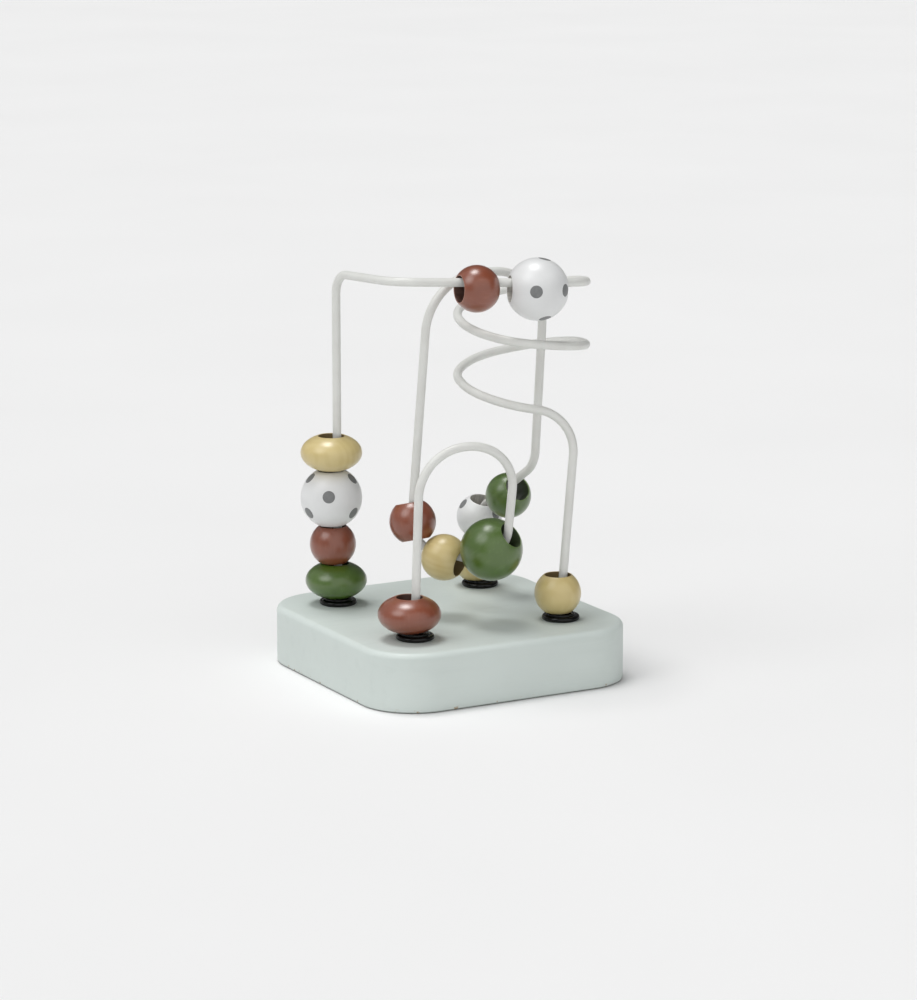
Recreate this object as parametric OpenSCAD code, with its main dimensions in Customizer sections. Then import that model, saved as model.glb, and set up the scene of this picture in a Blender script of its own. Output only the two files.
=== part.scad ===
/* [Base] */
// Side of the square wooden block
base_side = 92; // [90:1:104]
// Thickness of the block
base_t = 19; // [18:0.5:20]
// Radius of the block's upright corners
base_corner_r = 18; // [14:1:22]
// Rounding of the block's upper edge
base_edge_r = 2; // [1.5:0.5:4]
// Distance between neighbouring wire legs
leg_pitch = 53; // [52:0.5:54]

/* [Wires] */
// Thickness of the coated wire
wire_d = 2.8; // [2.4:0.1:3]
// Height of the spiral's first corner point
run_z = 126.8; // [126.4:0.2:127.2]
// Half width of the spiral
spiral_r = 20.4; // [20.2:0.1:20.6]
// Mean drop of the spiral in each quarter turn
spiral_drop = 5.2; // [5.1:0.05:5.3]
// Bend radius of the front arch
front_arch_r = 16; // [15.75:0.25:16.5]
// Height of the front arch's corner points
front_arch_z = 79.5; // [78:0.5:81]
// Height of the large arch's corner points
large_arch_z = 129.5; // [128:0.5:131]

/* [Beads] */
// Diameter of the small balls
small_ball_d = 15; // [14:0.25:15]
// Diameter of the large balls
large_ball_d = 20; // [19:0.25:20]
// Diameter of the saucer beads
saucer_d = 20; // [19:0.25:20]
// Hole through every bead
bead_bore = 8.4; // [8.2:0.1:8.6]

/* [Ferrules] */
// Diameter of the ferrule's flange
ferrule_d = 12.2; // [11:0.2:13]
// Height of the ferrule above the block
ferrule_h = 2.2; // [2:0.1:2.4]

/* [Hidden] */

$fn = 64;
rust = "#a45c4c";
green = "#5f8246";
yellow = "#d8c896";
white = "#ebebee";
coat = "#e2e2de";
sage = "#cbd3ce";
black = "#151515";

// Legs: left, front, right and back corners of a square
g = leg_pitch / 2;
LEFT = [-g, g, 0];
FRONT = [-g, -g, 0];
RIGHT = [g, -g, 0];
BACK = [g, g, 0];

// Fits
fit = 0.02;      // running gap of pieces that are pressed together
rest_gap = 0.15; // gap under and between stacked beads

// Hidden fixing in the block
stem_d = 7;
stem_len = 12.2;
wire_foot_z = 11;
sink_d = 9.4;
sink_depth = 4.4;
shank_d = 2.4;
head_d = 5.6;
head_h = 1.9;
washer_d = 8.6;
washer_t = 0.8;

// ---- bent wire: straight rods and round bends along a list of corner points ----
function unit(v) = v / norm(v);
function angle_at(p, i) = acos(max(-1, min(1, unit(p[i] - p[i - 1]) * unit(p[i + 1] - p[i]))));
function tangent_at(p, r, i) = (i == 0 || i == len(p) - 1) ? 0 : r[i] * tan(angle_at(p, i) / 2);

module along(v) { rotate([0, acos(v[2] / norm(v)), atan2(v[1], v[0])]) children(); }

module bent_wire(p, r, d) {
    for (i = [0 : len(p) - 2]) {
        a = p[i];
        b = p[i + 1];
        u = unit(b - a);
        s = a + u * tangent_at(p, r, i);
        e = b - u * tangent_at(p, r, i + 1);
        l = (e - s) * u;
        if (l > 0.05) {
            translate(s) along(u) cylinder(h = l, d = d);
            if (i > 0) translate(s) along(u) rotate([0, 0, 37]) sphere(d = d + 0.06);
        }
        if (i < len(p) - 2) translate(e) along(u) rotate([0, 0, 37]) sphere(d = d + 0.06);
    }
    for (i = [1 : len(p) - 2]) {
        u = unit(p[i] - p[i - 1]);
        v = unit(p[i + 1] - p[i]);
        n = unit(cross(u, v));
        s = p[i] - u * tangent_at(p, r, i);
        x = -cross(n, u);
        c = s - x * r[i];
        multmatrix([[x[0], u[0], n[0], c[0]], [x[1], u[1], n[1], c[1]], [x[2], u[2], n[2], c[2]], [0, 0, 0, 1]])
            rotate_extrude(angle = angle_at(p, i)) translate([r[i], 0]) circle(d = d);
    }
}

// Spiral: quarter turns that step down by slightly different amounts, as bent by hand
spiral_c = [26, -1.7, 0];
run_turn = -14;
ex = [cos(run_turn), sin(run_turn), 0];
e2 = [-sin(run_turn), cos(run_turn), 0];
step = [0, -0.7, 0.9, 0.9, -0.8, -2.4, 1.5, 0.3];
function level(k) = k == 0 ? run_z : level(k - 1) - spiral_drop - step[k];
function corner(i, j, k) = spiral_c + i * spiral_r * ex + j * spiral_r * e2 + [0, 0, level(k)];
run_start = spiral_c - spiral_r * e2 - 47.5 * ex + [0, 0, run_z + 3];
e1 = unit(corner(1, -1, 0) - run_start);
function run_at(t) = corner(1, -1, 0) + (t - spiral_r) / (e1 * ex) * e1;
leg_corner = spiral_c - spiral_r * e2 + 12.4 * ex + [0, 0, 84.6];

SPIRAL_P = [LEFT + [0, 0, wire_foot_z], LEFT + [0, 0, run_z + 0.9], run_start,
            corner(1, -1, 0), corner(1, 1, 1), corner(-1, 1, 2), corner(-1, -1, 3),
            corner(1, -1, 4), corner(1, 1, 5), corner(-1, 1, 6), corner(-1, -1, 7),
            leg_corner, RIGHT + [0, 0, 24], RIGHT + [0, 0, wire_foot_z]];
turn_r = spiral_r - 0.6;
SPIRAL_R = [0, 7, 10, turn_r, turn_r, turn_r, turn_r, turn_r, turn_r, turn_r, turn_r - 1.2, 14, 30, 0];

// Arch wire: front arch, dip, large arch, dogleg to the back leg
front_top = [-24.9, -27, front_arch_z];
front_arch_turn = -10;
ARCH_P = [FRONT + [0, 0, wire_foot_z], FRONT + [0, 0, 24], front_top,
          front_top + 2 * front_arch_r * [cos(front_arch_turn), sin(front_arch_turn), 0],
          [7.8, -23, 37.6], [-12.8, 2.4, 41.7], [-9.4, -4.8, large_arch_z], [33.5, -3.6, large_arch_z],
          [30, -3.4, 65], BACK + [0, 0, 45], BACK + [0, 0, wire_foot_z]];
ARCH_R = [0, 30, front_arch_r, front_arch_r - 0.3, 13.5, 9, 18.5, 18.5, 9, 9, 0];

// ---- beads ----
module ball(d, c) {
    color(c) difference() {
        sphere(d = d);
        cylinder(h = d + 2, d = bead_bore, center = true);
    }
}

// Saucer outline: half an ellipse, open at the hole
saucer_top = 6.2;
saucer_a = asin(bead_bore / saucer_d);
saucer_half = saucer_top * cos(saucer_a);
outline = [for (k = [0 : 24]) let (a = saucer_a + (180 - 2 * saucer_a) * k / 24) [saucer_d / 2 * sin(a), saucer_top * cos(a)]];

module saucer(c) { color(c) rotate_extrude() polygon(outline); }

small_half = sqrt(small_ball_d * small_ball_d - bead_bore * bead_bore) / 2;
large_half = sqrt(large_ball_d * large_ball_d - bead_bore * bead_bore) / 2;
seat_z = base_t + ferrule_h + rest_gap;

// Beads stand a little to one side of the legs
side = [-0.85, 0.5, 0];
left_z1 = seat_z + saucer_half;
left_z2 = left_z1 + saucer_half + rest_gap + small_half;
left_z3 = left_z2 + small_half + rest_gap + large_half;
left_z4 = left_z3 + large_half + rest_gap + saucer_half;

module left_green_saucer_bead() { translate(LEFT + side * 0.6 + [0, 0, left_z1]) saucer(green); }
module left_rust_ball_bead() { translate(LEFT + side * 1.6 + [0, 0, left_z2]) ball(small_ball_d, rust); }
module left_spotted_ball_bead() { translate(LEFT + side * 2 + [0, 0, left_z3]) ball(large_ball_d, white); }
module left_yellow_saucer_bead() { translate(LEFT + side * 1.9 + [0, 0, left_z4]) saucer(yellow); }

// Top beads hang from the run
module top_rust_ball_bead() { translate(run_at(-20.5) + 0.2 * e2 - [0, 0, 2]) along(e1 + 0.14 * e2) ball(small_ball_d, rust); }
module top_spotted_ball_bead() { translate([20.7, -20.7, 125.6]) along([0.95, -0.3, -0.04]) ball(large_ball_d, white); }

module right_yellow_ball_bead() { translate(RIGHT + side * 1.2 + [0.3, 0.1, seat_z + small_half]) ball(small_ball_d, yellow); }
module front_rust_saucer_bead() { translate(FRONT + side * 1.8 + [0, 0, seat_z + saucer_half]) saucer(rust); }

// Beads in the dip between the two arches
module dip_green_ball_bead() { translate([4.3, -20.6, 43.2]) along([0.4, -0.69, 0.6]) ball(large_ball_d, green); }
module dip_yellow_ball_bead() { translate([-4.8, -5.8, 38.6]) along([0.54, -0.81, -0.23]) ball(small_ball_d, yellow); }
module dip_rust_ball_bead() { translate([-12.1, 1.8, 49.7]) along([-0.05, 0.26, 0.96]) ball(small_ball_d, rust); }

// Beads on the dogleg and the back leg
module back_green_ball_bead() { translate([29, 12, 52]) along([0.1, -0.83, 0.55]) ball(small_ball_d, green); }
module back_spotted_ball_bead() { translate([25.3, 24.9, 42.9]) along([0.07, -0.29, 0.95]) ball(small_ball_d, white); }
module back_yellow_ball_bead() { translate(BACK + side * 1.4 + [0, 0, seat_z + small_half]) ball(small_ball_d, yellow); }

// ---- block, ferrules and fixings ----
module base_block() {
    h = base_side / 2 - base_corner_r;
    color(sage) difference() {
        hull() for (x = [-h, h], y = [-h, h]) translate([x, y, 0]) rotate_extrude($fn = 64)
            polygon(concat([[0, 0], [base_corner_r - 0.6, 0], [base_corner_r, 0.6]],
                           [for (k = [0 : 8]) [base_corner_r - base_edge_r * (1 - cos(k * 11.25)), base_t - base_edge_r * (1 - sin(k * 11.25))]],
                           [[0, base_t]]));
        for (p = [LEFT, FRONT, RIGHT, BACK]) translate(p) {
            translate([0, 0, base_t - stem_len]) cylinder(h = stem_len + 1, d = stem_d + 2 * fit);
            translate([0, 0, -1]) cylinder(h = base_t, d = shank_d + 0.4);
            translate([0, 0, -1]) cylinder(h = sink_depth + 1, d = sink_d);
        }
    }
}

module ferrule(p) {
    collar_d = ferrule_d - 1.8;
    low = base_t + fit;
    bot = base_t - stem_len + fit;
    top = base_t + ferrule_h;
    color(black) translate(p) difference() {
        rotate_extrude() polygon([[0, bot], [stem_d / 2 - 0.4, bot], [stem_d / 2, bot + 0.4], [stem_d / 2, low], [ferrule_d / 2 - 0.3, low],
            [ferrule_d / 2, low + 0.3], [ferrule_d / 2, low + 0.9], [ferrule_d / 2 - 0.3, low + 1.3], [collar_d / 2, low + 1.5],
            [collar_d / 2, top - 0.5], [collar_d / 2 - 0.5, top], [0, top]]);
        translate([0, 0, wire_foot_z - fit]) cylinder(h = base_t, d = wire_d + 2 * fit);
        translate([0, 0, 0]) cylinder(h = wire_foot_z - 0.5, d = shank_d + 2 * fit);
    }
}
module ferrule_left() { ferrule(LEFT); }
module ferrule_front() { ferrule(FRONT); }
module ferrule_right() { ferrule(RIGHT); }
module ferrule_back() { ferrule(BACK); }

module spiral_wire() { color(coat) bent_wire(SPIRAL_P, SPIRAL_R, wire_d); }
module arch_wire() { color(coat) bent_wire(ARCH_P, ARCH_R, wire_d); }

washer_z = sink_depth - fit - washer_t;
head_z = washer_z - fit - head_h;

module anchor_screws() {
    color("silver") for (p = [LEFT, FRONT, RIGHT, BACK]) translate(p) difference() {
        rotate_extrude() polygon([[0, head_z], [head_d / 2 - 0.7, head_z], [head_d / 2 - 0.2, head_z + 0.4], [head_d / 2, head_z + 0.9],
            [head_d / 2, head_z + head_h], [shank_d / 2, head_z + head_h], [shank_d / 2, wire_foot_z - 1.3], [shank_d / 2 - 0.6, wire_foot_z - 0.6], [0, wire_foot_z - 0.6]]);
        for (a = [0, 90]) rotate([0, 0, a]) translate([-1.5, -0.3, head_z - 1]) cube([3, 0.6, 2.1]);
    }
}

module anchor_washers() {
    color("lightgray") for (p = [LEFT, FRONT, RIGHT, BACK]) translate(p + [0, 0, washer_z]) difference() {
        cylinder(h = washer_t, d = washer_d);
        translate([0, 0, -1]) cylinder(h = washer_t + 2, d = shank_d + 0.4);
    }
}

base_block();
ferrule_left();
ferrule_front();
ferrule_right();
ferrule_back();
spiral_wire();
arch_wire();
left_green_saucer_bead();
left_rust_ball_bead();
left_spotted_ball_bead();
left_yellow_saucer_bead();
top_rust_ball_bead();
top_spotted_ball_bead();
right_yellow_ball_bead();
front_rust_saucer_bead();
dip_green_ball_bead();
dip_yellow_ball_bead();
dip_rust_ball_bead();
back_green_ball_bead();
back_spotted_ball_bead();
back_yellow_ball_bead();
anchor_screws();
anchor_washers();
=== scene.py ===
import bpy
import bmesh
import math
import numpy as np
from mathutils import Vector, Matrix


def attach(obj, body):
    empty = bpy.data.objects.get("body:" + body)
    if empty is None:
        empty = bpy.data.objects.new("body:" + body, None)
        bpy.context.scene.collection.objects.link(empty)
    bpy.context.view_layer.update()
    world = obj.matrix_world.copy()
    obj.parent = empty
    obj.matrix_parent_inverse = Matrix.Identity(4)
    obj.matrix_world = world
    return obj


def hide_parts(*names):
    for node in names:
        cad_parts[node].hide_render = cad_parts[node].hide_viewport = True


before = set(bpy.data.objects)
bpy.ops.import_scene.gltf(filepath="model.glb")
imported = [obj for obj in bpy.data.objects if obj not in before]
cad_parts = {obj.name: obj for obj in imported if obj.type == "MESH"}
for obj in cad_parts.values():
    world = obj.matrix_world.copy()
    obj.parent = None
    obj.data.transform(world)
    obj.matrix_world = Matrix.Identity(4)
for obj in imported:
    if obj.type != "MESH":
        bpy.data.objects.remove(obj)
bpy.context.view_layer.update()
MM = 0.001
scene = bpy.context.scene

# ------------------------------------------------------------------ sizes, in millimetres, as in the CAD
G = 26.5
LEFT, FRONT = np.array([-G, G, 0.0]), np.array([-G, -G, 0.0])
RIGHT, BACK = np.array([G, -G, 0.0]), np.array([G, G, 0.0])
BASE_SIDE, BASE_T, CORNER_R, EDGE_R = 92.0, 19.0, 18.0, 2.0
WIRE_D = 2.8
BORE_R = 4.2
FERRULE_H = 2.2
FIT = 0.02
REST_GAP = 0.15
FOOT_Z = 11.0


def unit(v):
    v = np.array(v, float)
    return v / np.linalg.norm(v)


def up(z):
    return np.array([0.0, 0.0, z])


# ------------------------------------------------------------------ wire routes
run_z, spiral_r, spiral_drop = 126.8, 20.4, 5.2
spiral_c = np.array([26.0, -1.7, 0.0])
turn = math.radians(-14)
EX = np.array([math.cos(turn), math.sin(turn), 0.0])
E2 = np.array([-math.sin(turn), math.cos(turn), 0.0])
level = [run_z]
for more in (-0.7, 0.9, 0.9, -0.8, -2.4, 1.5, 0.3):
    level.append(level[-1] - spiral_drop - more)


def corner(i, j, k):
    return spiral_c + i * spiral_r * EX + j * spiral_r * E2 + up(level[k])


run_start = spiral_c - spiral_r * E2 - 47.5 * EX + up(run_z + 3)
E1 = unit(corner(1, -1, 0) - run_start)


def run_at(t):
    return corner(1, -1, 0) + (t - spiral_r) / float(E1 @ EX) * E1


leg_corner = spiral_c - spiral_r * E2 + 12.4 * EX + up(84.6)
SPIRAL_P = [LEFT + up(FOOT_Z), LEFT + up(run_z + 0.9), run_start,
            corner(1, -1, 0), corner(1, 1, 1), corner(-1, 1, 2), corner(-1, -1, 3),
            corner(1, -1, 4), corner(1, 1, 5), corner(-1, 1, 6), corner(-1, -1, 7),
            leg_corner, RIGHT + up(24), RIGHT + up(FOOT_Z)]
SPIRAL_R = [0, 7, 10] + [spiral_r - 0.6] * 7 + [spiral_r - 1.8, 14, 30, 0]

front_r = 16.0
front_top = np.array([-24.9, -27.0, 79.5])
ft = math.radians(-10)
ARCH_P = [FRONT + up(FOOT_Z), FRONT + up(24), front_top,
          front_top + 2 * front_r * np.array([math.cos(ft), math.sin(ft), 0.0]),
          np.array([7.8, -23, 37.6]), np.array([-12.8, 2.4, 41.7]), np.array([-9.4, -4.8, 129.5]),
          np.array([33.5, -3.6, 129.5]), np.array([30, -3.4, 65.0]), BACK + up(45), BACK + up(FOOT_Z)]
ARCH_R = [0, 30, front_r, front_r - 0.3, 13.5, 9, 18.5, 18.5, 9, 9, 0]


def route(points, radii, step=0.6):
    """Points along straight runs and round bends."""
    out, prev = [], points[0]
    for i in range(1, len(points)):
        u = unit(points[i] - points[i - 1])
        end = points[i]
        if i < len(points) - 1:
            v = unit(points[i + 1] - points[i])
            ang = math.acos(max(-1, min(1, float(u @ v))))
            end = points[i] - u * radii[i] * math.tan(ang / 2)
        length = float((end - prev) @ u)
        if length > 0.02:
            n = max(1, int(length / (step * 2.5)))
            out += [prev + (end - prev) * k / n for k in range(n)]
        if i < len(points) - 1:
            nn = unit(np.cross(u, v))
            x = -np.cross(nn, u)
            c = end - x * radii[i]
            m = max(2, int(radii[i] * ang / step))
            out += [c + radii[i] * (x * math.cos(ang * k / m) + u * math.sin(ang * k / m)) for k in range(m)]
            prev = c + radii[i] * (x * math.cos(ang) + u * math.sin(ang))
    out.append(points[-1])
    return np.array(out)


# ------------------------------------------------------------------ mesh helpers
def link(name, verts, faces, smooth=True, scale=MM):
    me = bpy.data.meshes.new(name)
    me.from_pydata([tuple(float(c) * scale for c in v) for v in verts], [], faces)
    me.update()
    if smooth:
        me.polygons.foreach_set("use_smooth", [True] * len(me.polygons))
    o = bpy.data.objects.new(name, me)
    scene.collection.objects.link(o)
    return o


def fix_normals(o):
    bm = bmesh.new()
    bm.from_mesh(o.data)
    bmesh.ops.recalc_face_normals(bm, faces=bm.faces)
    bm.to_mesh(o.data)
    bm.free()
    o.data.update()


def tube(name, pts, radius, sides=28):
    tang = np.gradient(pts, axis=0)
    tang /= np.linalg.norm(tang, axis=1)[:, None]
    n = np.cross(tang[0], [0.3, 0.9, 0.1])
    n /= np.linalg.norm(n)
    verts, faces = [], []
    for i, p in enumerate(pts):
        if i:
            n = n - tang[i] * (n @ tang[i])
            n /= np.linalg.norm(n)
        b = np.cross(tang[i], n)
        for k in range(sides):
            a = 2 * math.pi * k / sides
            verts.append(p + radius * (n * math.cos(a) + b * math.sin(a)))
    for i in range(len(pts) - 1):
        for k in range(sides):
            k2 = (k + 1) % sides
            faces.append((i * sides + k, i * sides + k2, (i + 1) * sides + k2, (i + 1) * sides + k))
    faces.append(tuple(range(sides - 1, -1, -1)))
    base = (len(pts) - 1) * sides
    faces.append(tuple(base + k for k in range(sides)))
    o = link(name, verts, faces)
    fix_normals(o)
    return o


def lathe(name, prof, sides=96, closed=True):
    """Turns a closed outline of (radius, height) about Z."""
    verts, faces = [], []
    n = len(prof)
    for k in range(sides):
        a = 2 * math.pi * k / sides
        c, s = math.cos(a), math.sin(a)
        verts += [(r * c, r * s, z) for r, z in prof]
    for k in range(sides):
        k2 = (k + 1) % sides
        for i in range(n if closed else n - 1):
            j = (i + 1) % n
            faces.append((k * n + i, k2 * n + i, k2 * n + j, k * n + j))
    o = link(name, verts, faces)
    fix_normals(o)
    return o


def fillet(points, radii, steps=6):
    """Rounds the corners of a closed outline of (radius, height) points."""
    out, n = [], len(points)
    for i in range(n):
        p = np.array(points[i], float)
        r = radii[i]
        if r <= 0:
            out.append(tuple(p))
            continue
        a = unit(np.array(points[i - 1]) - p)
        b = unit(np.array(points[(i + 1) % n]) - p)
        half = math.acos(max(-1, min(1, float(a @ b)))) / 2
        t = r / math.tan(half)
        c = p + unit(a + b) * r / math.sin(half)
        s, e = p + a * t - c, p + b * t - c
        sweep = math.pi - 2 * half
        cross = s[0] * e[1] - s[1] * e[0]
        sg = 1 if cross > 0 else -1
        for k in range(steps + 1):
            q = sg * sweep * k / steps
            out.append((c[0] + s[0] * math.cos(q) - s[1] * math.sin(q), c[1] + s[0] * math.sin(q) + s[1] * math.cos(q)))
    return out


# ------------------------------------------------------------------ materials
def srgb(r, g, b):
    f = lambda c: c / 12.92 if c <= 0.04045 else ((c + 0.055) / 1.055) ** 2.4
    return tuple(f(c / 255) for c in (r, g, b)) + (1.0,)


class Mat:
    def __init__(self, name):
        self.m = bpy.data.materials.new(name)
        self.m.use_nodes = True
        self.t = self.m.node_tree
        self.t.nodes.clear()
        self.out = self.t.nodes.new("ShaderNodeOutputMaterial")
        self.b = self.t.nodes.new("ShaderNodeBsdfPrincipled")
        self.t.links.new(self.b.outputs[0], self.out.inputs[0])
        self.co = self.t.nodes.new("ShaderNodeTexCoord").outputs["Object"]

    def put(self, kind, **inputs):
        n = self.t.nodes.new(kind)
        for k, v in inputs.items():
            self.wire(n.inputs[k], v)
        return n

    def wire(self, sock, v):
        if isinstance(v, bpy.types.NodeSocket):
            self.t.links.new(v, sock)
        else:
            sock.default_value = v

    def stretch(self, x, y, z, rot=(0, 0, 0), loc=(0, 0, 0)):
        n = self.t.nodes.new("ShaderNodeMapping")
        self.t.links.new(self.co, n.inputs["Vector"])
        n.inputs["Scale"].default_value = (x, y, z)
        n.inputs["Rotation"].default_value = rot
        n.inputs["Location"].default_value = loc
        return n.outputs[0]

    def noise(self, scale, detail=2.0, rough=0.5, vec=None, distortion=0.0):
        n = self.t.nodes.new("ShaderNodeTexNoise")
        self.wire(n.inputs["Vector"], vec or self.co)
        n.inputs["Scale"].default_value = scale
        n.inputs["Detail"].default_value = detail
        n.inputs["Roughness"].default_value = rough
        n.inputs["Distortion"].default_value = distortion
        return n.outputs["Fac"]

    def span(self, v, a, b, c=0.0, d=1.0, smooth=False):
        n = self.t.nodes.new("ShaderNodeMapRange")
        n.interpolation_type = "SMOOTHSTEP" if smooth else "LINEAR"
        self.wire(n.inputs[0], v)
        for i, q in enumerate((a, b, c, d)):
            n.inputs[i + 1].default_value = q
        return n.outputs[0]

    def math(self, op, a, b=0.0):
        n = self.t.nodes.new("ShaderNodeMath")
        n.operation = op
        self.wire(n.inputs[0], a)
        self.wire(n.inputs[1], b)
        return n.outputs[0]

    def mix(self, fac, a, b):
        n = self.t.nodes.new("ShaderNodeMix")
        n.data_type = "RGBA"
        self.wire(n.inputs[0], fac)
        self.wire(n.inputs[6], a)
        self.wire(n.inputs[7], b)
        return n.outputs[2]

    def bump(self, height, strength, distance, normal=None):
        n = self.t.nodes.new("ShaderNodeBump")
        n.inputs["Strength"].default_value = strength
        n.inputs["Distance"].default_value = distance
        self.wire(n.inputs["Height"], height)
        if normal is not None:
            self.wire(n.inputs["Normal"], normal)
        return n.outputs[0]

    def axis_radius(self):
        s = self.t.nodes.new("ShaderNodeSeparateXYZ")
        self.t.links.new(self.co, s.inputs[0])
        xx = self.math("MULTIPLY", s.outputs[0], s.outputs[0])
        yy = self.math("MULTIPLY", s.outputs[1], s.outputs[1])
        return self.math("SQRT", self.math("ADD", xx, yy)), s.outputs[2]


def painted_bead(name, tint, shade, light, seed, rough=(0.34, 0.4), grain=0.1, coat=0.85, bore_shaded_wood=(150, 112, 72)):
    """Satin paint on turned wood: colour drifts a little, grain shows faintly, paint thins at the hole's rim, and the
    bore is bare wood darkened with painted shade.
    """
    m = Mat(name)
    off = (0.013 * seed, 0.021 * seed, 0.017 * seed)
    drift = m.noise(130, 2, 0.5, m.stretch(1, 1, 1, loc=off))
    fibre = m.noise(900, 4, 0.6, m.stretch(1, 1, 0.09, rot=(0.25, 0.1 * seed, 0.0), loc=off), 0.25)
    col = m.mix(m.span(drift, 0.32, 0.70, 0.0, 1.0), srgb(*tint), srgb(*shade))
    col = m.mix(m.math("MULTIPLY", m.span(fibre, 0.52, 0.72, smooth=True), grain), col, srgb(*light))
    r, z = m.axis_radius()
    rim_noise = m.noise(700, 3, 0.6, m.stretch(1, 1, 1, loc=off))
    edge = m.math("ADD", r, m.math("MULTIPLY", m.math("SUBTRACT", rim_noise, 0.5), 0.0007))
    rim = m.span(edge, 0.00425, 0.00475, 1.0, 0.0, True)
    col = m.mix(m.math("MULTIPLY", rim, 0.55), col, srgb(*light))
    bore = m.span(r, 0.00422, 0.00428, 1.0, 0.0)
    # inside the hole: bare wood colour darkened as painted shade
    wood = m.mix(m.span(fibre, 0.35, 0.7), srgb(*bore_shaded_wood), srgb(*[int(c * 0.62) for c in bore_shaded_wood]))
    col = m.mix(m.math("MULTIPLY", bore, 0.85), col, wood)
    m.wire(m.b.inputs["Base Color"], col)
    m.wire(m.b.inputs["Roughness"], m.math("ADD", m.span(m.noise(420, 3, 0.55), 0.3, 0.7, *rough), m.math("MULTIPLY", bore, 0.35)))
    n1 = m.bump(fibre, 0.05, 0.00006)
    n2 = m.bump(m.noise(1500, 3, 0.55), 0.10, 0.00006, n1)
    m.wire(m.b.inputs["Normal"], n2)
    m.b.inputs["Coat Weight"].default_value = coat
    m.b.inputs["Coat Roughness"].default_value = 0.3
    m.b.inputs["Coat IOR"].default_value = 1.58
    m.b.inputs["Specular IOR Level"].default_value = 0.5
    return m.m


def pale_wood(name, seed):
    """Pale yellow stain on maple: soft growth bands and fine pores under satin lacquer."""
    m = Mat(name)
    off = (0.019 * seed, 0.011 * seed, 0.023 * seed)
    vec = m.stretch(1, 1, 0.22, rot=(0.5 + 0.3 * seed, 0.35, 0.2 * seed), loc=off)
    w = m.t.nodes.new("ShaderNodeTexWave")
    w.wave_type = "BANDS"
    w.bands_direction = "X"
    m.wire(w.inputs["Vector"], vec)
    w.inputs["Scale"].default_value = 140
    w.inputs["Distortion"].default_value = 5.5
    w.inputs["Detail"].default_value = 3
    w.inputs["Detail Scale"].default_value = 1.4
    bands = w.outputs["Fac"]
    pores = m.noise(1500, 3, 0.6, m.stretch(1, 1, 0.06, rot=(0.5 + 0.3 * seed, 0.35, 0.2 * seed), loc=off))
    col = m.mix(m.span(bands, 0.1, 0.95, 0.0, 1.0, True), srgb(206, 187, 130), srgb(202, 182, 124))
    col = m.mix(m.span(m.noise(120, 2, 0.5, m.stretch(1, 1, 1, loc=off)), 0.35, 0.7, 0.0, 0.45), col, srgb(206, 189, 133))
    col = m.mix(m.span(pores, 0.62, 0.78, 0.0, 0.08, True), col, srgb(180, 158, 104))
    r, z = m.axis_radius()
    bore = m.span(r, 0.00422, 0.00428, 1.0, 0.0)
    rim = m.span(r, 0.00425, 0.0048, 1.0, 0.0, True)
    col = m.mix(m.math("MULTIPLY", rim, 0.4), col, srgb(190, 166, 112))
    # inside the hole: darker wood as painted shade
    col = m.mix(m.math("MULTIPLY", bore, 0.8), col, srgb(92, 70, 34))
    m.wire(m.b.inputs["Base Color"], col)
    m.wire(m.b.inputs["Roughness"], m.math("ADD", m.span(m.noise(420, 3, 0.55), 0.3, 0.7, 0.36, 0.48), m.math("MULTIPLY", bore, 0.3)))
    n1 = m.bump(pores, 0.025, 0.00004)
    m.wire(m.b.inputs["Normal"], m.bump(m.noise(1400, 3, 0.55), 0.08, 0.00006, n1))
    m.b.inputs["Coat Weight"].default_value = 0.8
    m.b.inputs["Coat Roughness"].default_value = 0.3
    m.b.inputs["Specular IOR Level"].default_value = 0.45
    return m.m


def coated_wire():
    m = Mat("wire_coating")
    soft = m.noise(160, 2, 0.5)
    col = m.mix(m.span(soft, 0.3, 0.7), srgb(221, 222, 218), srgb(216, 216, 212))
    scuff = m.noise(900, 5, 0.65, m.stretch(1, 1, 0.35))
    col = m.mix(m.span(scuff, 0.66, 0.78, 0.0, 0.35, True), col, srgb(198, 198, 193))
    m.wire(m.b.inputs["Base Color"], col)
    m.wire(m.b.inputs["Roughness"], m.span(m.noise(500, 3), 0.3, 0.7, 0.36, 0.5))
    m.wire(m.b.inputs["Normal"], m.bump(m.noise(2600, 2, 0.5), 0.12, 0.00005))
    m.b.inputs["Specular IOR Level"].default_value = 0.45
    m.b.inputs["Coat Weight"].default_value = 0.15
    m.b.inputs["Coat Roughness"].default_value = 0.3
    return m.m


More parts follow.
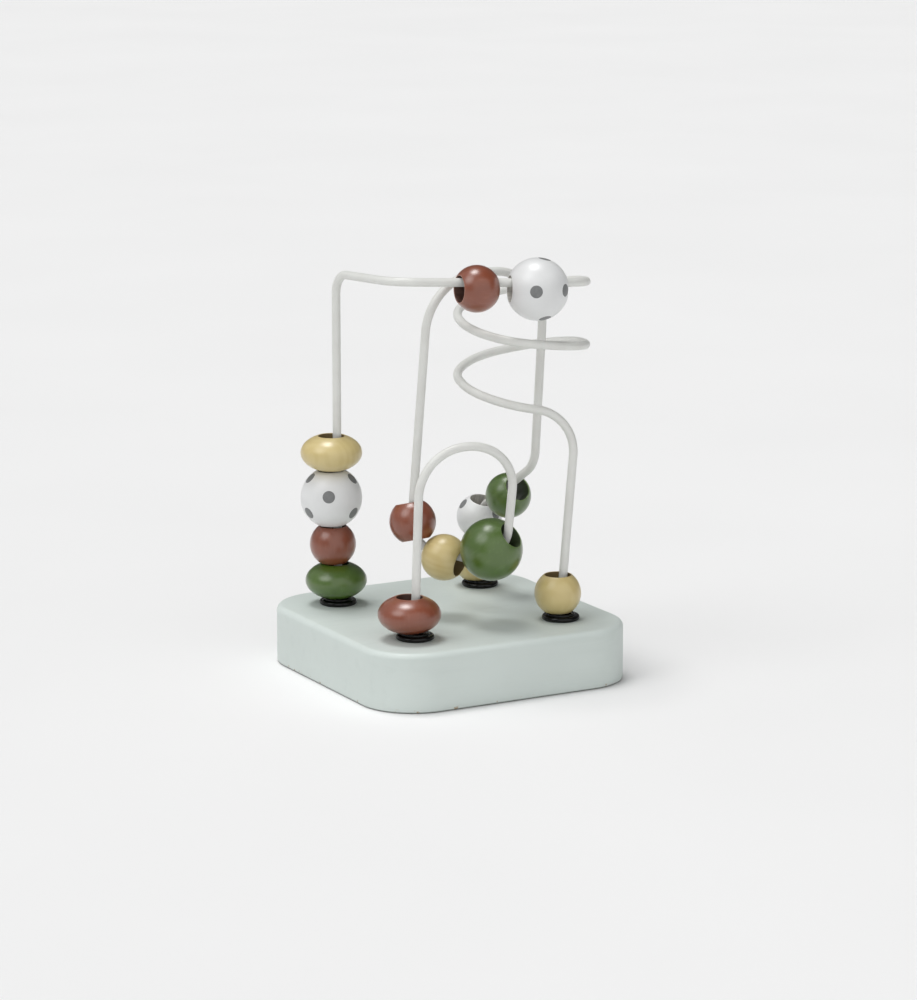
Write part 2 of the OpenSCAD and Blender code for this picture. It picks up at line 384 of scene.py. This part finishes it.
def sage_paint():
    """Satin paint on a wooden block: faint brush drift, softened shine, wear and small chips along the lower edge, and
    a painted contact shadow darkening the sides at the bottom edge.
    """
    m = Mat("sage_paint")
    s = m.t.nodes.new("ShaderNodeSeparateXYZ")
    m.t.links.new(m.co, s.inputs[0])
    z = s.outputs[2]
    drift = m.noise(38, 3, 0.5)
    col = m.mix(m.span(drift, 0.3, 0.7), srgb(209, 218, 214), srgb(205, 214, 210))
    grain = m.noise(260, 4, 0.6, m.stretch(0.07, 1, 1), 0.2)
    col = m.mix(m.span(grain, 0.5, 0.75, 0.0, 0.16, True), col, srgb(188, 198, 193))
    face = m.t.nodes.new("ShaderNodeSeparateXYZ")
    m.t.links.new(m.t.nodes.new("ShaderNodeTexCoord").outputs["Normal"], face.inputs[0])
    edge = m.span(face.outputs[2], -0.97, -0.9, 0.0, 1.0, True)
    low = m.math("MULTIPLY", edge, m.span(z, 0.0004, 0.0016, 1.0, 0.0, True))
    chipn = m.noise(330, 5, 0.65)
    chip = m.math("MULTIPLY", low, m.span(chipn, 0.60, 0.64, 0.0, 1.0, True))
    col = m.mix(chip, col, srgb(172, 150, 118))
    # painted contact shadow: a dark line along the foot of the sides
    dust_and_contact_shade = m.math("MULTIPLY", edge, m.span(z, 0.0002, 0.0007, 0.75, 0.0, True))
    col = m.mix(dust_and_contact_shade, col, srgb(84, 86, 80))
    m.wire(m.b.inputs["Base Color"], col)
    m.wire(m.b.inputs["Roughness"], m.math("ADD", m.span(m.noise(240, 3, 0.55), 0.3, 0.7, 0.40, 0.52), m.math("MULTIPLY", chip, 0.3)))
    n1 = m.bump(grain, 0.05, 0.0001)
    n2 = m.bump(m.noise(900, 3, 0.55), 0.09, 0.00008, n1)
    n3 = m.bump(m.math("SUBTRACT", 1.0, chip), 0.4, 0.0001, n2)
    m.wire(m.b.inputs["Normal"], n3)
    m.b.inputs["Specular IOR Level"].default_value = 0.42
    return m.m


def black_plastic():
    m = Mat("black_plastic")
    dust_and_contact_shade = m.noise(1200, 4, 0.65)
    col = m.mix(m.span(dust_and_contact_shade, 0.6, 0.8, 0.0, 0.5, True), srgb(6, 6, 6), srgb(18, 18, 17))
    m.wire(m.b.inputs["Base Color"], col)
    m.wire(m.b.inputs["Roughness"], m.span(m.noise(600, 3), 0.3, 0.7, 0.1, 0.2))
    m.wire(m.b.inputs["Normal"], m.bump(m.noise(700, 2), 0.05, 0.00006))
    m.b.inputs["Specular IOR Level"].default_value = 0.3
    return m.m


def dot_paint():
    m = Mat("dot_paint")
    col = m.mix(m.span(m.noise(900, 3, 0.6), 0.35, 0.7), srgb(116, 118, 118), srgb(125, 126, 126))
    m.wire(m.b.inputs["Base Color"], col)
    m.wire(m.b.inputs["Roughness"], m.span(m.noise(500, 3), 0.3, 0.7, 0.4, 0.52))
    m.wire(m.b.inputs["Normal"], m.bump(m.noise(1500, 3, 0.55), 0.1, 0.00006))
    return m.m


def zinc():
    m = Mat("zinc_steel")
    brush = m.noise(2200, 3, 0.6, m.stretch(1, 0.06, 1))
    col = m.mix(m.span(m.noise(500, 3), 0.3, 0.7), srgb(196, 198, 199), srgb(172, 175, 176))
    m.wire(m.b.inputs["Base Color"], col)
    m.wire(m.b.inputs["Roughness"], m.span(brush, 0.3, 0.7, 0.25, 0.42))
    m.wire(m.b.inputs["Normal"], m.bump(brush, 0.08, 0.00004))
    m.b.inputs["Metallic"].default_value = 1.0
    return m.m


# ------------------------------------------------------------------ block
def rounded_square(half, r, per=18):
    pts = []
    for cx, cy, a0 in ((1, 1, 0), (-1, 1, 90), (-1, -1, 180), (1, -1, 270)):
        for k in range(per + 1):
            a = math.radians(a0 + 90 * k / per)
            pts.append((cx * (half - r) + r * math.cos(a), cy * (half - r) + r * math.sin(a)))
    # a few points along each straight side
    full = []
    for i, p in enumerate(pts):
        q = pts[(i + 1) % len(pts)]
        full.append(p)
        d = math.dist(p, q)
        if d > 6:
            n = 6
            full += [(p[0] + (q[0] - p[0]) * k / n, p[1] + (q[1] - p[1]) * k / n) for k in range(1, n)]
    return full


def make_block():
    half = BASE_SIDE / 2
    levels = [(1.0, 0.0)]
    levels += [(0.7 - 0.7 * math.sin(math.radians(a)), 0.7 - 0.7 * math.cos(math.radians(a))) for a in (0, 30, 60, 90)]
    levels += [(0.0, 4.0), (0.0, 8.0), (0.0, 12.0)]
    levels += [(EDGE_R * (1 - math.cos(math.radians(a))), BASE_T - EDGE_R * (1 - math.sin(math.radians(a)))) for a in range(0, 91, 9)]
    levels += [(EDGE_R + 0.8, BASE_T)]
    bm = bmesh.new()
    rings = []
    for inset, z in levels:
        rings.append([bm.verts.new((x * MM, y * MM, z * MM)) for x, y in rounded_square(half - inset, CORNER_R - inset)])
    for a, b in zip(rings, rings[1:]):
        for i in range(len(a)):
            j = (i + 1) % len(a)
            bm.faces.new((a[i], a[j], b[j], b[i]))
    top_edges = [bm.edges.get((rings[-1][i], rings[-1][(i + 1) % len(rings[-1])])) for i in range(len(rings[-1]))]
    low_edges = [bm.edges.get((rings[0][i], rings[0][(i + 1) % len(rings[0])])) for i in range(len(rings[0]))]
    # bores for the ferrules, with counterbores for the screws below
    prof = [(3.52 + 0.3, BASE_T), (3.52, BASE_T - 0.3), (3.52, BASE_T - 12.2), (1.4, BASE_T - 12.2), (1.4, 4.4), (4.7, 4.4), (4.7, 0.35), (4.7 + 0.35, 0.0)]
    for p in (LEFT, FRONT, RIGHT, BACK):
        n, hole = 48, []
        for r, z in prof:
            hole.append([bm.verts.new(((p[0] + r * math.cos(2 * math.pi * k / n)) * MM, (p[1] + r * math.sin(2 * math.pi * k / n)) * MM, z * MM)) for k in range(n)])
        for a, b in zip(hole, hole[1:]):
            for i in range(n):
                j = (i + 1) % n
                bm.faces.new((a[i], a[j], b[j], b[i]))
        top_edges += [bm.edges.get((hole[0][i], hole[0][(i + 1) % n])) for i in range(n)]
        low_edges += [bm.edges.get((hole[-1][i], hole[-1][(i + 1) % n])) for i in range(n)]
    bmesh.ops.triangle_fill(bm, use_beauty=True, use_dissolve=False, edges=top_edges, normal=(0, 0, 1))
    bmesh.ops.triangle_fill(bm, use_beauty=True, use_dissolve=False, edges=low_edges, normal=(0, 0, -1))
    bmesh.ops.recalc_face_normals(bm, faces=bm.faces)
    me = bpy.data.meshes.new("wooden_block")
    bm.to_mesh(me)
    bm.free()
    for f in me.polygons:
        f.use_smooth = abs(f.normal.z) < 0.999
    me.set_sharp_from_angle(angle=math.radians(40))
    o = bpy.data.objects.new("wooden_block", me)
    scene.collection.objects.link(o)
    return o


SAGE, BLACK, WIRE, DOT, ZINC = sage_paint(), black_plastic(), coated_wire(), dot_paint(), zinc()

block = make_block()
block.data.materials.append(SAGE)
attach(block, "frame")
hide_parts("base_block")

# ------------------------------------------------------------------ ferrules: moulded flange, smaller collar, stem in the block
low, bot, top = BASE_T + FIT, BASE_T - 12.2 + FIT, BASE_T + FERRULE_H
outline = [(1.42, FOOT_Z - 0.4), (1.42, top), (4.5, top), (4.5, low + 1.62), (6.1, low + 1.62), (6.1, low), (3.5, low), (3.5, bot), (1.22, bot), (1.22, FOOT_Z - 0.4)]
rounds = [0, 0.25, 0.3, 0.1, 0.82, 0.7, 0.08, 0.35, 0.15, 0]
for name, p in (("left", LEFT), ("front", FRONT), ("right", RIGHT), ("back", BACK)):
    o = lathe("ferrule_" + name + "_moulding", fillet(outline, rounds), 72)
    o.location = Vector((p[0] * MM, p[1] * MM, 0))
    o.data.materials.append(BLACK)
    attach(o, "frame")
    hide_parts("ferrule_" + name)

# ------------------------------------------------------------------ wires
for name, pts, radii in (("spiral_wire", SPIRAL_P, SPIRAL_R), ("arch_wire", ARCH_P, ARCH_R)):
    o = tube(name + "_coated", route(pts, radii), WIRE_D / 2)
    o.data.materials.append(WIRE)
    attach(o, "frame")
    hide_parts(name)

for n in ("anchor_screws", "anchor_washers"):
    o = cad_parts[n]
    o.data.materials.clear()
    o.data.materials.append(ZINC)

# ------------------------------------------------------------------ beads
SAUCER_TOP, SAUCER_D = 6.2, 20.0


def ball_outline(d, rim=0.2, steps=44):
    """Closed outline of a drilled ball with a rounded lip at each end of the hole."""
    R = d / 2
    # lip centre: inside the ball, outside the bore
    cr = BORE_R + rim
    cz = math.sqrt((R - rim) ** 2 - cr ** 2)
    a = math.atan2(cz, cr)
    pts = [(R * math.cos(-a + 2 * a * k / steps), R * math.sin(-a + 2 * a * k / steps)) for k in range(steps + 1)]
    lip = [(cr + rim * math.cos(a + (math.pi - a) * k / 7), cz + rim * math.sin(a + (math.pi - a) * k / 7)) for k in range(1, 8)]
    wall = [(BORE_R, cz * (1 - 2 * k / 6)) for k in range(1, 6)]
    return pts + lip + wall + [(r, -z) for r, z in reversed(lip)]


def saucer_outline(steps=56):
    a0 = math.asin(2 * (BORE_R + 0.32) / SAUCER_D)
    pts = []
    for k in range(steps + 1):
        a = math.pi - a0 - (math.pi - 2 * a0) * k / steps
        pts.append((SAUCER_D / 2 * math.sin(a), SAUCER_TOP * math.cos(a)))
    p0 = np.array(pts[-1])
    q = np.array([BORE_R, pts[-1][1] - 0.26])
    ctrl = np.array([BORE_R + 0.02, pts[-1][1] + 0.06])
    lip = [tuple((1 - t) ** 2 * p0 + 2 * t * (1 - t) * ctrl + t * t * q) for t in (0.15, 0.3, 0.45, 0.6, 0.75, 0.9, 1.0)]
    h = q[1]
    wall = [(BORE_R, h * (1 - 2 * k / 6)) for k in range(1, 6)]
    return pts + lip + wall + [(r, -z) for r, z in reversed(lip)]


def to_axis(v):
    z = Vector(unit(v))
    x = Vector((0, 0, 1)).cross(z)
    x = Vector((1, 0, 0)) if x.length < 1e-6 else x.normalized()
    y = z.cross(x)
    return Matrix((x, y, z)).transposed()


# viewing directions of the photograph, used to place the dots that it shows
AZ, EL, DIST = math.radians(-28.92), math.radians(12.29), 1200.0
FWD = np.array([-math.sin(AZ) * math.cos(EL), math.cos(AZ) * math.cos(EL), -math.sin(EL)])
RGT = np.array([math.cos(AZ), math.sin(AZ), 0.0])
UPV = np.cross(RGT, FWD)


def seen(u, v):
    w = math.sqrt(max(0.0, 1 - u * u - v * v))
    return unit(u * RGT + v * UPV - w * FWD)


def add_dots(o, R, rot, dirs, dot_d=4.0, lift=0.018):
    """Thin round caps of paint that follow the ball, each a closed lens."""
    inv = rot.inverted()
    verts, faces = [], []
    ang = math.asin(dot_d / 2 / R)
    for d in dirs:
        q = inv @ Vector(d)
        if math.hypot(q.x, q.y) * R < BORE_R + 0.75:
            q = Vector((q.x, q.y, q.z)).normalized()
        m = to_axis(q)
        b = len(verts)
        rings, seg = 7, 40
        verts.append(tuple(m @ Vector((0, 0, R + lift))))
        for i in range(1, rings + 2):
            a = ang * min(i, rings) / rings
            rr = R + lift if i <= rings else R - 0.03
            if i == rings:
                rr = R + lift * 0.7
            for k in range(seg):
                t = 2 * math.pi * k / seg
                p = m @ Vector((math.sin(a) * math.cos(t), math.sin(a) * math.sin(t), math.cos(a))) * rr
                verts.append(tuple(p))
        for k in range(seg):
            faces.append((b, b + 1 + k, b + 1 + (k + 1) % seg))
        for i in range(rings):
            for k in range(seg):
                k2 = (k + 1) % seg
                s0, s1 = b + 1 + i * seg, b + 1 + (i + 1) * seg
                faces.append((s0 + k, s1 + k, s1 + k2, s0 + k2))
        # closed below, inside the ball
        last, foot = b + 1 + rings * seg, len(verts)
        verts.append(tuple(m @ Vector((0, 0, (R - 0.03) * math.cos(ang)))))
        for k in range(seg):
            faces.append((foot, last + (k + 1) % seg, last + k))
    bm = bmesh.new()
    bm.from_mesh(o.data)
    vs = [bm.verts.new([c * MM for c in v]) for v in verts]
    for f in faces:
        nf = bm.faces.new([vs[i] for i in f])
        nf.material_index = 1
        nf.smooth = True
    bm.to_mesh(o.data)
    bm.free()


SEAT = BASE_T + FERRULE_H + REST_GAP
saucer_half = SAUCER_TOP * math.cos(math.asin(2 * BORE_R / SAUCER_D))
small_half = math.sqrt(15.0 ** 2 - (2 * BORE_R) ** 2) / 2
large_half = math.sqrt(20.0 ** 2 - (2 * BORE_R) ** 2) / 2
side = np.array([-0.85, 0.5, 0.0])
z1 = SEAT + saucer_half
z2 = z1 + saucer_half + REST_GAP + small_half
z3 = z2 + small_half + REST_GAP + large_half
z4 = z3 + large_half + REST_GAP + saucer_half

# paint, darker drift, paler where it is thin, inside of the hole as bare wood darkened with painted shade
RUST = ((131, 65, 38), (123, 60, 34), (186, 132, 108), (60, 30, 22))
GREEN = ((70, 100, 20), (64, 93, 16), (124, 152, 88), (30, 42, 18))
WHITE = ((226, 227, 227), (220, 221, 221), (240, 240, 238), (208, 203, 194))

# node, body, shape, size, colour, centre, axis
BEADS = [
    ("left_green_saucer_bead", "left_green", "saucer", 20, "green", LEFT + side * 0.6 + up(z1), (0, 0, 1)),
    ("left_rust_ball_bead", "left_rust", "ball", 15, "rust", LEFT + side * 1.6 + up(z2), (0, 0, 1)),
    ("left_spotted_ball_bead", "left_spotted", "ball", 20, "white", LEFT + side * 2 + up(z3), (0, 0, 1)),
    ("left_yellow_saucer_bead", "left_yellow", "saucer", 20, "yellow", LEFT + side * 1.9 + up(z4), (0, 0, 1)),
    ("top_rust_ball_bead", "top_rust", "ball", 15, "rust", run_at(-20.5) + 0.2 * E2 - up(2), E1 + 0.14 * E2),
    ("top_spotted_ball_bead", "top_spotted", "ball", 20, "white", np.array([20.7, -20.7, 125.6]), (0.95, -0.3, -0.04)),
    ("right_yellow_ball_bead", "right_yellow", "ball", 15, "yellow", RIGHT + side * 1.2 + np.array([0.3, 0.1, SEAT + small_half]), (0, 0, 1)),
    ("front_rust_saucer_bead", "front_rust", "saucer", 20, "rust", FRONT + side * 1.8 + up(SEAT + saucer_half), (0, 0, 1)),
    ("dip_green_ball_bead", "dip_green", "ball", 20, "green", np.array([4.3, -20.6, 43.2]), (0.4, -0.69, 0.6)),
    ("dip_yellow_ball_bead", "dip_yellow", "ball", 15, "yellow", np.array([-4.8, -5.8, 38.6]), (0.54, -0.81, -0.23)),
    ("dip_rust_ball_bead", "dip_rust", "ball", 15, "rust", np.array([-12.1, 1.8, 49.7]), (-0.05, 0.26, 0.96)),
    ("back_green_ball_bead", "back_green", "ball", 15, "green", np.array([29.0, 12.0, 52.0]), (0.1, -0.83, 0.55)),
    ("back_spotted_ball_bead", "back_spotted", "ball", 15, "white", np.array([25.3, 24.9, 42.9]), (0.07, -0.29, 0.95)),
    ("back_yellow_ball_bead", "back_yellow", "ball", 15, "yellow", BACK + side * 1.4 + up(SEAT + small_half), (0, 0, 1)),
]
FRONT_DOTS = {
    "left_spotted_ball_bead": [(-0.05, 0.0), (-0.68, 0.63), (0.70, 0.61), (-0.72, -0.52), (0.74, -0.52)],
    "top_spotted_ball_bead": [(-0.05, -0.145), (0.885, -0.065), (0.225, 0.955), (0.24, -0.95)],
    "back_spotted_ball_bead": [(-0.73, 0.56), (0.75, 0.1)],
}

for i, (node, body, shape, d, colour, centre, axis) in enumerate(BEADS):
    o = lathe(node.replace("_bead", "_wood"), ball_outline(d) if shape == "ball" else saucer_outline(), 112)
    rot = to_axis(axis)
    if colour == "yellow":
        mat = pale_wood("pale_wood_%d" % i, i * 0.9)
    else:
        tint, shade, light, bore_shaded_wood = {"green": GREEN, "rust": RUST, "white": WHITE}[colour]
        mat = painted_bead("%s_paint_%d" % (colour, i), tint, shade, light, i * 0.7,
                           grain={"green": 0.1, "rust": 0.09, "white": 0.06}[colour],
                           coat={"green": 0.85, "rust": 0.85, "white": 0.3}[colour], bore_shaded_wood=bore_shaded_wood)
    o.data.materials.append(mat)
    if node in FRONT_DOTS:
        o.data.materials.append(DOT)
        front = [seen(u, v) for u, v in FRONT_DOTS[node]]
        ax = unit(axis)
        dirs = list(front)
        for q in front:
            for cand in (-q, unit(np.cross(ax, q) + 0.35 * q), unit(np.cross(q, ax) - 0.35 * q)):
                if all(cand @ e < math.cos(math.radians(48)) for e in dirs) and abs(cand @ ax) < 0.74 and cand @ (-FWD) < 0.05:
                    dirs.append(cand)
        add_dots(o, d / 2, rot, dirs, 4.0 if d == 20 else 3.6)
    o.matrix_world = Matrix.Translation(Vector(centre) * MM) @ rot.to_4x4()
    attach(o, body)
    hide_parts(node)

# ------------------------------------------------------------------ floor, light, camera
def floor_material():
    m = Mat("studio_floor")
    col = m.mix(m.span(m.noise(6, 2), 0.3, 0.7), srgb(238, 238, 238), srgb(236, 236, 236))
    m.wire(m.b.inputs["Base Color"], col)
    m.b.inputs["Roughness"].default_value = 0.85
    m.b.inputs["Specular IOR Level"].default_value = 0.15
    return m.m


back_dir = unit([FWD[0], FWD[1], 0.0])
verts, faces, N = [], [], 24
for i in range(N + 1):
    for j in range(N + 1):
        verts.append((-12.0 + i, -12.0 + j, 0.0))
for i in range(N):
    for j in range(N):
        a = i * (N + 1) + j
        faces.append((a, a + N + 1, a + N + 2, a + 1))
floor = link("studio_floor", verts, faces, True, 1.0)
floor.data.materials.append(floor_material())


def sun(name, right, toward, height, spread, strength):
    """Soft studio light from far away, from a direction given as seen by the camera."""
    d = bpy.data.lights.new(name, "SUN")
    d.angle = math.radians(spread)
    d.energy = strength
    o = bpy.data.objects.new(name, d)
    scene.collection.objects.link(o)
    v = RGT * right - back_dir * toward + up(height)
    o.rotation_euler = Vector(-v).to_track_quat("-Z", "Y").to_euler()
    return o


sun("overhead", -0.14, -0.15, 1.0, 22, 1.6)
sun("left_high", -0.55, 0.4, 0.75, 38, 0.9)
sun("left_fill", -1.0, 0.0, 0.3, 100, 0.56)
sun("front_fill", 0.5, 1.0, 0.35, 90, 1.3)

world = bpy.data.worlds.new("studio")
scene.world = world
world.use_nodes = True
bg = world.node_tree.nodes["Background"]
bg.inputs[0].default_value = (1, 1, 1, 1)
bg.inputs[1].default_value = 0.12
scene.view_settings.view_transform = "Standard"
scene.view_settings.look = "None"

cam = bpy.data.cameras.new("camera")
cam.sensor_fit = "AUTO"
cam.sensor_width = 36.0
cam.lens = 3729.0 * 36.0 / 1000.0
cam.clip_start, cam.clip_end = 0.05, 50.0
cam_o = bpy.data.objects.new("camera", cam)
scene.collection.objects.link(cam_o)
pos = (-FWD * DIST + up(50) + RGT * 3.24 + UPV * 5.64) * MM
basis = Matrix((Vector(RGT), Vector(UPV), Vector(-FWD))).transposed()
cam_o.matrix_world = Matrix.Translation(Vector(pos)) @ basis.to_4x4()
scene.camera = cam_o
